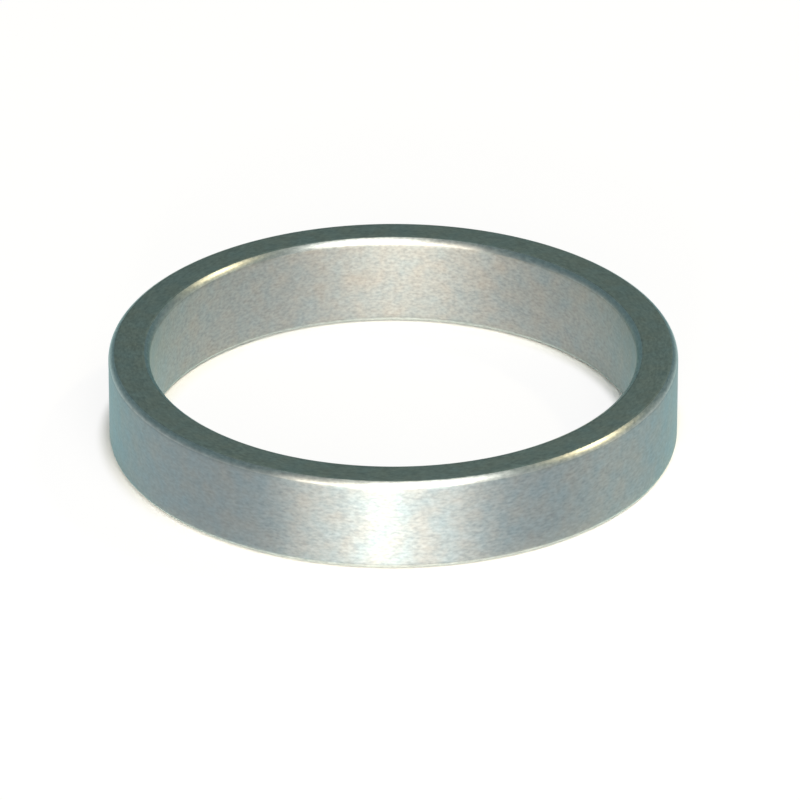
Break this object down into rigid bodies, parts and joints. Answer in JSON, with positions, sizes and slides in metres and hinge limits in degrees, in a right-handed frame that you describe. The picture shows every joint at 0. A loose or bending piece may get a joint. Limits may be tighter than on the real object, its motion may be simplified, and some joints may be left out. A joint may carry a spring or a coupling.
{
  "type": "lock blocking ring",
  "caption": "Plain turned metal ring with rounded edges that slips over a lock cylinder and sits behind its head to take up spare length.",
  "frame": {"origin": "centre of the bore, on the lower face, which lies on the door or on a table", "axes": "+Z along the axis of the bore, from the lower face to the upper face; X and Y across the ring, which is the same all round"},
  "size_m": [0.035, 0.035, 0.0059],
  "materials": {
    "satin_steel": "satin, turned, with fine lines that run round the ring"
  },
  "bodies": {
    "root": {"blocking_ring": "satin_steel"}
  },
  "joints": []
}
